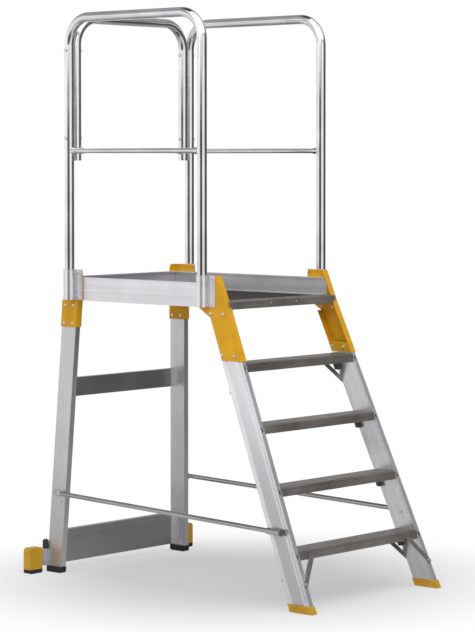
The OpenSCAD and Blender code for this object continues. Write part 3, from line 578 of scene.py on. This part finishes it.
class Workshop:
    """Makes materials once and puts them on CAD nodes."""

    MILL_ROUGH = 0.36
    STILE_ROUGH = 0.27
    MILL_METAL = 0.88

    def __init__(self, palette: Palette) -> None:
        """Keeps the palette and an empty store of materials."""
        self.palette = palette
        self.store: dict[str, bpy.types.Material] = {}

    def material(self, finish: Finish) -> bpy.types.Material:
        """Material of a finish, made when first asked for."""
        if finish.name not in self.store:
            self.store[finish.name] = finish.make()
        return self.store[finish.name]

    def dress(self, piece: bpy.types.Object, finish: Finish) -> None:
        """Puts a finish on one piece."""
        piece.data.materials.clear()
        piece.data.materials.append(self.material(finish))
        log.info("%s: %s", piece.name, finish.name)

    def dress_nodes(self, names: Iterable[str], finish: Finish) -> None:
        """Puts a finish on CAD nodes."""
        for name in names:
            self.dress(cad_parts[name], finish)

    def extrusion(self, member: Member, left: bool = False, dull: bool = False) -> ExtrudedAluminium:
        """Mill finish along a member.

        Args:
            member: Direction of the member.
            left: True on the left side, where the direction is mirrored.
            dull: True for the darker stock of the bars and braces.

        Returns:
            The finish.
        """
        x, y, z = member.value
        tone = "dull" if dull else "mill"
        side = "left" if left else "right"
        bright = self.palette.leg if member is Member.LEG else self.palette.mill
        colour = self.palette.bar if dull else bright
        rough = self.STILE_ROUGH if member is Member.STILE else self.MILL_ROUGH
        return ExtrudedAluminium(f"{tone}_{member.name.lower()}_{side}", colour, rough,
                                 grain=(-x if left else x, y, z), metal=self.MILL_METAL)

    def stile(self, left: bool) -> StileExtrusion:
        """Mill finish of a front stile, with painted shade in its outer recess."""
        plain = self.extrusion(Member.STILE, left)
        return StileExtrusion(plain.name, plain.colour, plain.rough, grain=plain.grain, metal=plain.metal,
                              outward=-1.0 if left else 1.0)

    def socket(self) -> ExtrudedAluminium:
        """Matt finish of the post sockets."""
        return ExtrudedAluminium("matt_socket", self.palette.mill, rough=0.27, grain=Member.UPRIGHT.value,
                                 metal=0.85)

    def tread(self) -> ExtrudedAluminium:
        """Oxidised finish of the treads and the nosing."""
        return ExtrudedAluminium("oxidised_tread", self.palette.tread, rough=0.34, grain=Member.ACROSS.value,
                                 metal=0.6, streaks=2.5, edge=0.3 * MM)

    def tube(self) -> PolishedTube:
        """Bright guardrail tube."""
        return PolishedTube("bright_tube", self.palette.bright, rough=0.13)

    def stay(self) -> PolishedTube:
        """Duller tube of the side stays."""
        return PolishedTube("stay_tube", self.palette.stay, rough=0.2)

    def coat(self) -> PowderCoat:
        """Yellow powder coat."""
        return PowderCoat("yellow_coat", self.palette.yellow, rough=0.42)

    def shoe(self) -> MouldedPlastic:
        """Yellow moulded plastic."""
        return MouldedPlastic("yellow_plastic", self.palette.shoe, rough=0.5)

    def rubber(self) -> MouldedPlastic:
        """Black rubber."""
        return MouldedPlastic("black_rubber", self.palette.rubber, rough=0.75, scuff_share=0.5)

    def knob(self) -> MouldedPlastic:
        """Dark moulded plastic."""
        return MouldedPlastic("dark_plastic", self.palette.knob, rough=0.45)

    def plug(self) -> MouldedPlastic:
        """Grey moulded plastic of the cleats and plugs."""
        return MouldedPlastic("grey_plastic", self.palette.plug, rough=0.5)

    def zinc(self) -> ZincPlate:
        """Bright zinc of the fasteners."""
        return ZincPlate("zinc_plate", self.palette.zinc, rough=0.28)

    def film(self) -> FilmPlywood:
        """Film-faced plywood of the deck board."""
        return FilmPlywood("film_plywood", self.palette.film, rough=0.68)


def pair(stem: str) -> tuple[str, str]:
    """Names of a left and a right node."""
    return f"{stem}_left", f"{stem}_right"


class Facing(Enum):
    """Ends of a fastener that have a head, seen from the part's middle."""

    BOTH = "both"
    OUTWARD = "outward"
    INWARD = "inward"
    SPLIT = "split"


@dataclass(frozen=True)
class FastenerSet:
    """Fasteners of one CAD node."""

    node: str
    axis: int
    facing: Facing
    drive: bool


@dataclass(frozen=True)
class Island:
    """Box of one fastener in a CAD mesh."""

    low: Vector
    high: Vector

    @property
    def centre(self) -> Vector:
        """Middle of the box."""
        return (self.low + self.high) / 2

    @property
    def size(self) -> Vector:
        """Lengths of the box."""
        return self.high - self.low


@dataclass(frozen=True)
class Seat:
    """Where one head sits: its outer middle, direction, width and height."""

    top: Vector
    way: Vector
    width: float
    height: float


@dataclass
class Fasteners:
    """Bolt, rivet and screw heads with a rim, a crown and a sunk middle, in place of plain discs."""

    sets: tuple[FastenerSet, ...] = (
        FastenerSet("front_bracket_bolts", 0, Facing.BOTH, True),
        FastenerSet("rear_bracket_rivets", 0, Facing.SPLIT, False),
        FastenerSet("cleat_rivets", 0, Facing.INWARD, False),
        FastenerSet("socket_bolts", 0, Facing.OUTWARD, True),
        FastenerSet("nosing_screws", 1, Facing.OUTWARD, True),
    )
    head_height: float = 5.4 * MM
    tail_height: float = 2.9 * MM
    tail_share: float = 0.69
    tailed_length: float = 20 * MM
    weld_gap: float = 0.01 * MM
    sides: int = 28
    rim_share: float = 0.12
    crown_share: float = 0.92
    crown_round: float = 0.3
    crown_steps: int = 6
    drive_inset: float = 0.05
    drive_sunk: float = 0.2
    dimple_inset: float = 0.08
    dimple_sunk: float = 0.1
    smooth_angle: float = 38.0
    level_normal: float = 0.99

    def build(self, shop: Workshop) -> None:
        """Models the heads of every set and puts them in place."""
        for batch in self.sets:
            islands = self.islands(batch.node)
            middle = sum(abs(i.centre[batch.axis]) for i in islands) / len(islands)
            pattern = self.head(batch.drive)
            copies = [self.copy(pattern, seat) for i in islands for seat in self.seats(batch, i, middle)]
            bpy.data.meshes.remove(pattern.data)
            piece = self.join(copies, f"{batch.node}_heads")
            shop.dress(piece, shop.zinc())
            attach(piece, "frame")
            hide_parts(batch.node)
            log.info("%s: %d heads", piece.name, len(copies))

    def islands(self, node: str) -> list[Island]:
        """Finds the separate fasteners of a CAD node.

        Args:
            node: Name of the node.

        Returns:
            One box for each fastener, in order of place.
        """
        mesh = bmesh.new()
        mesh.from_mesh(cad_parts[node].data)
        bmesh.ops.remove_doubles(mesh, verts=mesh.verts, dist=self.weld_gap)
        left = set(mesh.verts)
        found = []
        while left:
            group = {left.pop()}
            fresh = list(group)
            while fresh:
                vertex = fresh.pop()
                near = {link.other_vert(vertex) for link in vertex.link_edges} & left
                left -= near
                group |= near
                fresh += near
            found.append(Island(Vector(min(v.co[k] for v in group) for k in range(3)),
                                Vector(max(v.co[k] for v in group) for k in range(3))))
        mesh.free()
        return sorted(found, key=lambda island: tuple(island.centre))

    def seats(self, batch: FastenerSet, island: Island, middle: float) -> list[Seat]:
        """Works out where the heads of one fastener sit.

        Args:
            batch: Set that the fastener belongs to.
            island: The fastener's box.
            middle: Mean distance of the set from the part's middle.

        Returns:
            One seat for each head.
        """
        axis = batch.axis
        out = math.copysign(1.0, island.centre[axis])
        farther = abs(island.centre[axis]) > middle
        signs = {Facing.BOTH: (out, -out), Facing.OUTWARD: (out,), Facing.INWARD: (-out,),
                 Facing.SPLIT: (out if farther else -out,)}[batch.facing]
        width = max(island.size[k] for k in range(3) if k != axis)
        length = island.size[axis]
        found = []
        for sign in signs:
            way = Vector((0.0, 0.0, 0.0))
            way[axis] = sign
            top = island.centre + way * length / 2
            tail = batch.facing is Facing.BOTH and sign != out and length < self.tailed_length
            across = width * self.tail_share if tail else width
            tall = self.tail_height if tail else self.head_height
            found.append(Seat(top, way, across, min(length, tall)))
        return found

    def head(self, drive: bool) -> bpy.types.Object:
        """Models one head of unit width and height, upright on the origin.

        Args:
            drive: True for a deep drive recess, false for a rivet's small dimple.

        Returns:
            The head, from which the others are copied.
        """
        bpy.ops.object.select_all(action="DESELECT")
        bpy.ops.mesh.primitive_cylinder_add(vertices=self.sides, radius=0.5, depth=self.rim_share,
                                            location=(0.0, 0.0, self.rim_share / 2))
        piece = bpy.context.object
        bpy.ops.object.transform_apply(location=True, rotation=True, scale=True)
        bpy.ops.object.mode_set(mode="EDIT")
        self.pick_top(piece)
        bpy.ops.mesh.inset(thickness=0.5 - self.crown_share / 2)
        bpy.ops.mesh.extrude_region_move(TRANSFORM_OT_translate={"value": (0.0, 0.0, 1.0 - self.rim_share)})
        self.pick_top(piece)
        bpy.ops.mesh.bevel(offset=self.crown_round, segments=self.crown_steps, profile=0.5, affect="EDGES")
        self.pick_top(piece)
        inset, sunk = (self.drive_inset, self.drive_sunk) if drive else (self.dimple_inset, self.dimple_sunk)
        bpy.ops.mesh.inset(thickness=inset)
        bpy.ops.mesh.extrude_region_move(TRANSFORM_OT_translate={"value": (0.0, 0.0, -sunk)})
        bpy.ops.mesh.select_all(action="SELECT")
        bpy.ops.mesh.normals_make_consistent(inside=False)
        bpy.ops.object.mode_set(mode="OBJECT")
        bpy.ops.object.shade_smooth_by_angle(angle=math.radians(self.smooth_angle))
        return piece

    def pick_top(self, piece: bpy.types.Object) -> None:
        """Selects the level face on top of a piece in edit mode."""
        bpy.ops.mesh.select_mode(type="FACE")
        mesh = bmesh.from_edit_mesh(piece.data)
        level = [face for face in mesh.faces if face.normal.z > self.level_normal]
        top = max(level, key=lambda face: face.calc_center_median().z)
        for face in mesh.faces:
            face.select_set(False)
        top.select_set(True)
        mesh.select_flush_mode()
        bmesh.update_edit_mesh(piece.data)

    def copy(self, pattern: bpy.types.Object, seat: Seat) -> bpy.types.Object:
        """Copies a head to its seat, with its place in its own mesh.

        Args:
            pattern: Head of unit size.
            seat: Place and size of the copy.

        Returns:
            The copy.
        """
        mesh = pattern.data.copy()
        turn = seat.way.to_track_quat("Z", "Y").to_matrix().to_4x4()
        size = Matrix.Diagonal((seat.width, seat.width, seat.height, 1.0))
        mesh.transform(Matrix.Translation(seat.top - seat.way * seat.height) @ turn @ size)
        piece = bpy.data.objects.new("head", mesh)
        bpy.context.scene.collection.objects.link(piece)
        return piece

    def join(self, copies: list[bpy.types.Object], name: str) -> bpy.types.Object:
        """Joins heads into one piece with a plain name."""
        bpy.ops.object.select_all(action="DESELECT")
        for piece in copies:
            piece.select_set(True)
        bpy.context.view_layer.objects.active = copies[0]
        bpy.ops.object.join()
        copies[0].name = name
        copies[0].data.name = name
        return copies[0]


@dataclass
class FrontLadder:
    """Stiles, treads, cleats, braces and shoes."""

    treads: int = 4

    def dress(self, shop: Workshop) -> None:
        """Puts the finishes on the ladder's nodes."""
        for left, name in zip((True, False), pair("front_stile")):
            shop.dress_nodes([name], shop.stile(left))
        shop.dress_nodes([f"tread_{k + 1}" for k in range(self.treads)], shop.tread())
        shop.dress_nodes(["tread_cleats"], shop.plug())
        shop.dress_nodes(["tread_braces"], shop.extrusion(Member.UPRIGHT, dull=True))
        shop.dress_nodes(["brace_bolts"], shop.zinc())
        shop.dress_nodes(pair("front_shoe"), shop.shoe())


@dataclass
class Platform:
    """Tray, deck board, brackets and post sockets."""

    def dress(self, shop: Workshop) -> None:
        """Puts the finishes on the platform's nodes."""
        shop.dress_nodes(pair("side_rail"), shop.extrusion(Member.DEEP))
        shop.dress_nodes(["rear_toe_board"], shop.extrusion(Member.ACROSS))
        shop.dress_nodes(["front_nosing"], shop.tread())
        shop.dress_nodes(["deck_board"], shop.film())
        shop.dress_nodes(pair("front_bracket") + pair("rear_bracket") + ("nosing_cleats",), shop.coat())
        shop.dress_nodes(pair("post_socket_front") + pair("post_socket_rear"), shop.socket())


@dataclass
class RearFrame:
    """Legs, crossbars, cleats, feet and side stays."""

    def dress(self, shop: Workshop) -> None:
        """Puts the finishes on the rear frame's nodes."""
        for left, name in zip((True, False), pair("rear_leg")):
            shop.dress_nodes([name], shop.extrusion(Member.LEG, left))
        shop.dress_nodes(["mid_crossbar", "lower_crossbar"], shop.extrusion(Member.ACROSS, dull=True))
        shop.dress_nodes(["crossbar_cleats"], shop.extrusion(Member.UPRIGHT))
        shop.dress_nodes(pair("side_stay") + ("stay_sleeves",), shop.stay())
        shop.dress_nodes(["stay_end_plugs"], shop.plug())
        shop.dress_nodes(["stay_bolts"], shop.zinc())
        shop.dress_nodes(pair("rear_foot"), shop.rubber())


@dataclass
class Outriggers:
    """Guide tube, sliding bars, feet, soles and clamp knobs."""

    def dress(self, shop: Workshop) -> None:
        """Puts the finishes on the outriggers' nodes."""
        shop.dress_nodes(("outrigger_guide",) + pair("outrigger_bar"), shop.extrusion(Member.ACROSS))
        shop.dress_nodes(pair("outrigger_foot"), shop.shoe())
        shop.dress_nodes(pair("outrigger_sole"), shop.rubber())
        shop.dress_nodes(pair("clamp_knob"), shop.knob())


@dataclass
class Guardrail:
    """Hoops, knee rails, collars and through bolts."""

    def dress(self, shop: Workshop) -> None:
        """Puts the finishes on the guardrail's nodes."""
        shop.dress_nodes(pair("side_hoop") + ("rear_hoop",), shop.tube())
        shop.dress_nodes(pair("knee_rail") + ("knee_rail_rear", "knee_rail_collars"), shop.tube())
        shop.dress_nodes(["hoop_bolts"], shop.zinc())


@dataclass(frozen=True)
class Softbox:
    """Square lamp that faces the part's middle."""

    name: str
    place: Axis
    size: float
    watts: float
    target: Axis = (0.0, 0.0, 1.0)


@dataclass(frozen=True)
class Panel:
    """Pale panel of the room, between two headings in degrees from the camera."""

    low: float
    high: float
    strength: float


@dataclass(frozen=True)
class FloorGloss:
    """Brightness of the floor where metal mirrors it: at the left, the right and far away."""

    left: float = 0.62
    right: float = 0.36
    far: float = 0.78
    sides: Span = (-0.4, 0.3)
    reach: Span = (1.8, 4.5)
    behind_from: Span = (0.7, 1.2)
    behind_dim: float = 0.5


@dataclass
class Studio:
    """Pale floor, soft light and a camera at the photograph's angle."""

    softboxes: tuple[Softbox, ...] = (
        Softbox("key_softbox", place=(-3.8, -1.0, 4.4), size=6.0, watts=108.0),
        Softbox("top_softbox", place=(-0.2, -2.9, 6.6), size=8.5, watts=260.0),
    )
    floor_half: float = 40.0
    floor_colour: Colour = (0.66, 0.66, 0.66)
    floor_gloss: FloorGloss = FloorGloss()
    camera_place: Axis = (-6.967, -6.2786, 1.636)
    camera_azimuth: float = 48.0
    camera_pitch: float = 1.525
    lens: float = 138.5
    shift_y: float = -0.15
    view_end: float = 200.0
    panels: tuple[Panel, ...] = (Panel(-140.0, -47.0, 0.98), Panel(8.0, 60.0, 1.0))
    panel_soft: float = 6.0
    backdrop_from: Span = (122.0, 170.0)
    room_dim: float = 0.1
    ceiling: float = 0.36
    ceiling_from: Span = (0.02, 0.5)
    zenith: float = 0.04
    zenith_from: Span = (0.72, 0.9)
    near_glow: float = 0.34
    glow_reach: Span = (0.35, 1.35)

    def build(self) -> None:
        """Makes the floor, the world, the lamps and the camera."""
        self.floor()
        self.world()
        for softbox in self.softboxes:
            self.lamp(softbox)
        self.camera()

    def room(self, tree: ShaderTree, toward: Value) -> Value:
        """Brightness of the room around the object.

        Args:
            tree: Nodes that the brightness is made in.
            toward: Direction away from the object.

        Returns:
            White behind the object, two pale panels and dim gaps on the camera's side.
        """
        turn = math.radians(self.camera_azimuth)
        ahead = tree.dot(toward, (-math.sin(turn), -math.cos(turn), 0.0))
        heading = tree.dot(toward, (math.cos(turn), -math.sin(turn), 0.0)).heading(ahead)
        soft = math.radians(self.panel_soft)
        level = self.room_dim + heading.size().ramp(*map(math.radians, self.backdrop_from))
        for panel in self.panels:
            low, high = math.radians(panel.low), math.radians(panel.high)
            level = level + heading.band(low, high, soft) * panel.strength
        return level

    def mirrored_floor(self, tree: ShaderTree, place: Value, reach: Value) -> Value:
        """Brightness of the floor in mirrors.

        Args:
            tree: Nodes of the floor's material.
            place: Place on the floor.
            reach: Its distance from the part's middle.

        Returns:
            The brightness, which turns into the room's far away.
        """
        gloss = self.floor_gloss
        near = gloss.left + tree.dot(place, (1.0, 0.0, 0.0)).ramp(*gloss.sides) * (gloss.right - gloss.left)
        near = near * (1 - tree.dot(place, (0.0, 1.0, 0.0)).ramp(*gloss.behind_from) * gloss.behind_dim)
        return near + reach.ramp(*gloss.reach) * (self.room(tree, place) * gloss.far - near)

    def floor(self) -> None:
        """Makes the floor, white far away and pale with soft shadows near the object."""
        bpy.ops.object.select_all(action="DESELECT")
        bpy.ops.mesh.primitive_plane_add(size=2 * self.floor_half)
        plane = bpy.context.object
        plane.name = "floor"
        material = bpy.data.materials.new("floor_paper")
        material.use_nodes = True
        tree = ShaderTree(material.node_tree)
        place = tree.place()
        reach = tree.out(tree.add("ShaderNodeVectorMath", {"operation": "LENGTH"}, {0: place}), "Value")
        paths = tree.add("ShaderNodeLightPath")
        camera = tree.out(paths, "Is Camera Ray")
        mirrored = tree.out(paths, "Is Glossy Ray") + tree.out(paths, "Is Transmission Ray")
        paper = tree.add("ShaderNodeBsdfDiffuse", None, {"Color": (*self.floor_colour, 1.0)})
        far = reach.ramp(*self.glow_reach)
        shade = camera + (1 - camera) * self.mirrored_floor(tree, place, reach)
        glow = tree.add("ShaderNodeEmission", None,
                        {"Color": tree.mix((0.0, 0.0, 0.0), (1.0, 1.0, 1.0), shade), "Strength": 1.0})
        share = mirrored + camera * (self.near_glow + far * (1.0 - self.near_glow))
        blend = tree.add("ShaderNodeMixShader", None,
                         {0: share, 1: tree.out(paper, "BSDF"), 2: tree.out(glow, "Emission")})
        tree.add("ShaderNodeOutputMaterial", None, {"Surface": tree.out(blend, "Shader")})
        plane.data.materials.append(material)

    def world(self) -> None:
        """Makes the light of the room, darker overhead behind the top softbox; the camera sees white."""
        world = bpy.data.worlds.new("studio_room")
        world.use_nodes = True
        bpy.context.scene.world = world
        tree = ShaderTree(world.node_tree)
        toward = tree.out(tree.add("ShaderNodeTexCoord"), "Generated")
        level = self.room(tree, toward)
        height = tree.dot(toward, UP)
        level = level - height.ramp(*self.ceiling_from) * (level - self.ceiling)
        level = level - height.ramp(*self.zenith_from) * (level - self.zenith)
        camera = tree.out(tree.add("ShaderNodeLightPath"), "Is Camera Ray")
        room = tree.add("ShaderNodeBackground", None, {"Color": (1.0, 1.0, 1.0, 1.0),
                                                       "Strength": camera + (1 - camera) * level})
        tree.add("ShaderNodeOutputWorld", None, {"Surface": tree.out(room, "Background")})

    def lamp(self, softbox: Softbox) -> None:
        """Adds the lamp of a softbox."""
        data = bpy.data.lights.new(softbox.name, "AREA")
        data.size = softbox.size
        data.energy = softbox.watts
        lamp = bpy.data.objects.new(softbox.name, data)
        lamp.location = softbox.place
        way = Vector(softbox.target) - Vector(softbox.place)
        lamp.rotation_euler = way.to_track_quat("-Z", "Y").to_euler()
        bpy.context.scene.collection.objects.link(lamp)

    def camera(self) -> None:
        """Adds the camera, level but for a small pitch, with a small shift of the frame."""
        data = bpy.data.cameras.new("photo_camera")
        data.lens = self.lens
        data.shift_y = self.shift_y
        data.clip_end = self.view_end
        camera = bpy.data.objects.new("photo_camera", data)
        camera.location = self.camera_place
        tilt = math.radians(90.0 - self.camera_pitch)
        camera.rotation_euler = (tilt, 0.0, math.radians(-self.camera_azimuth))
        bpy.context.scene.collection.objects.link(camera)
        bpy.context.scene.camera = camera


def main() -> None:
    """Builds and dresses the sub-assemblies, then the studio."""
    logging.basicConfig(level=logging.INFO, format="%(name)s: %(message)s")
    shop = Workshop(Palette())
    for part in (FrontLadder(), Platform(), RearFrame(), Outriggers(), Guardrail()):
        part.dress(shop)
    Fasteners().build(shop)
    Studio().build()
    bpy.context.scene.view_settings.view_transform = "Standard"


if __name__ == "__main__":
    main()
